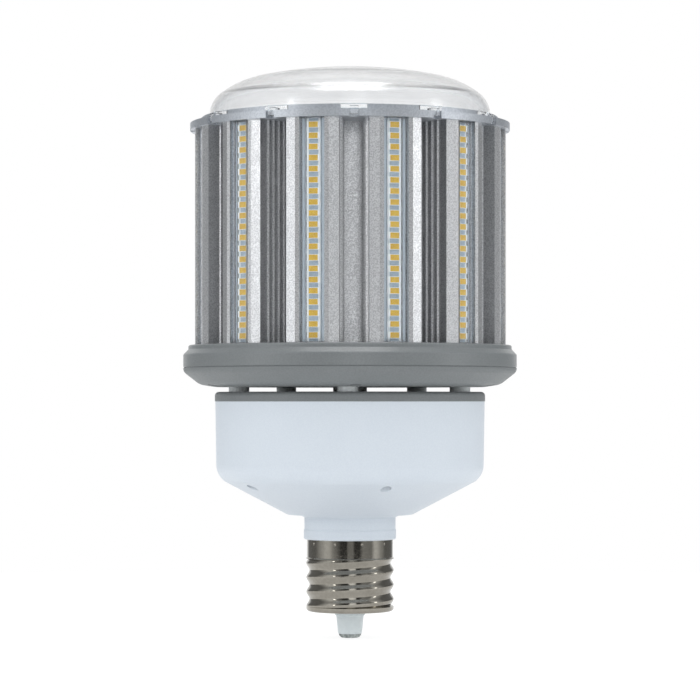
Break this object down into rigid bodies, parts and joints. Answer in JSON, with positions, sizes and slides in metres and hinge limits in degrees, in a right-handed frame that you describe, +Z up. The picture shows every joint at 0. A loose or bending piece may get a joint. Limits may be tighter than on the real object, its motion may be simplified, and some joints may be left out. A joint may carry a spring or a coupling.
{
  "type": "led light bulb",
  "caption": "High-power LED lamp: clear dome, finned aluminium column of LED strips behind clear covers, grey collar, white driver housing and a long-contact screw base.",
  "frame": {"origin": "centre of the solder tip's small flat, the lamp's lowest point, on its axis", "axes": "+Z up the lamp's axis from the screw base to the dome; -Y is the front of the picture, with a groove of the heat sink facing it"},
  "size_m": [0.1474, 0.1474, 0.2517],
  "materials": {
    "lens_clear": "clear gloss",
    "cover_clear": "clear gloss",
    "sink_aluminium": "fine blasted satin",
    "ring_aluminium": "fine blasted satin",
    "led_board_face": "satin white solder mask",
    "led_phosphor": "yellow phosphor in a white package",
    "grey_plastic": "satin mid grey",
    "white_plastic": "semi-gloss cool white",
    "nickel_shell": "warm nickel plating",
    "pale_insulator": "satin pale grey",
    "solder_tip": "dull solder",
    "steel_screw": "zinc plated",
    "board_green": "green laminate",
    "ferrite": "dark ferrite",
    "capacitor_sleeve": "dark sleeve",
    "copper_winding": "enamelled copper",
    "lead_insulation": "silicone insulation"
  },
  "bodies": {
    "root": {"centre_contact": "solder_tip", "insulator": "pale_insulator", "screw_shell": "nickel_shell", "driver_housing": "white_plastic", "housing_screws": "steel_screw", "driver_board": "board_green", "transformer": "ferrite", "capacitors": "capacitor_sleeve", "choke": "copper_winding", "supply_leads": "lead_insulation", "lamp_leads": "lead_insulation", "housing_cap": "grey_plastic", "post_screws": "steel_screw", "collar_lower": "grey_plastic", "collar_upper": "grey_plastic", "collar_screws": "steel_screw", "sink_screws": "steel_screw", "heat_sink": "sink_aluminium", "top_ring": "ring_aluminium", "ring_screws": "steel_screw", "top_led_board": "led_board_face", "top_leds": "led_phosphor", "dome_lens": "lens_clear", "led_board_01": "led_board_face", "led_column_01": "led_phosphor", "strip_cover_01": "cover_clear", "led_board_02": "led_board_face", "led_column_02": "led_phosphor", "strip_cover_02": "cover_clear", "led_board_03": "led_board_face", "led_column_03": "led_phosphor", "strip_cover_03": "cover_clear", "led_board_04": "led_board_face", "led_column_04": "led_phosphor", "strip_cover_04": "cover_clear", "led_board_05": "led_board_face", "led_column_05": "led_phosphor", "strip_cover_05": "cover_clear", "led_board_06": "led_board_face", "led_column_06": "led_phosphor", "strip_cover_06": "cover_clear", "led_board_07": "led_board_face", "led_column_07": "led_phosphor", "strip_cover_07": "cover_clear", "led_board_08": "led_board_face", "led_column_08": "led_phosphor", "strip_cover_08": "cover_clear", "led_board_09": "led_board_face", "led_column_09": "led_phosphor", "strip_cover_09": "cover_clear", "led_board_10": "led_board_face", "led_column_10": "led_phosphor", "strip_cover_10": "cover_clear", "led_board_11": "led_board_face", "led_column_11": "led_phosphor", "strip_cover_11": "cover_clear", "led_board_12": "led_board_face", "led_column_12": "led_phosphor", "strip_cover_12": "cover_clear"}
  },
  "joints": []
}
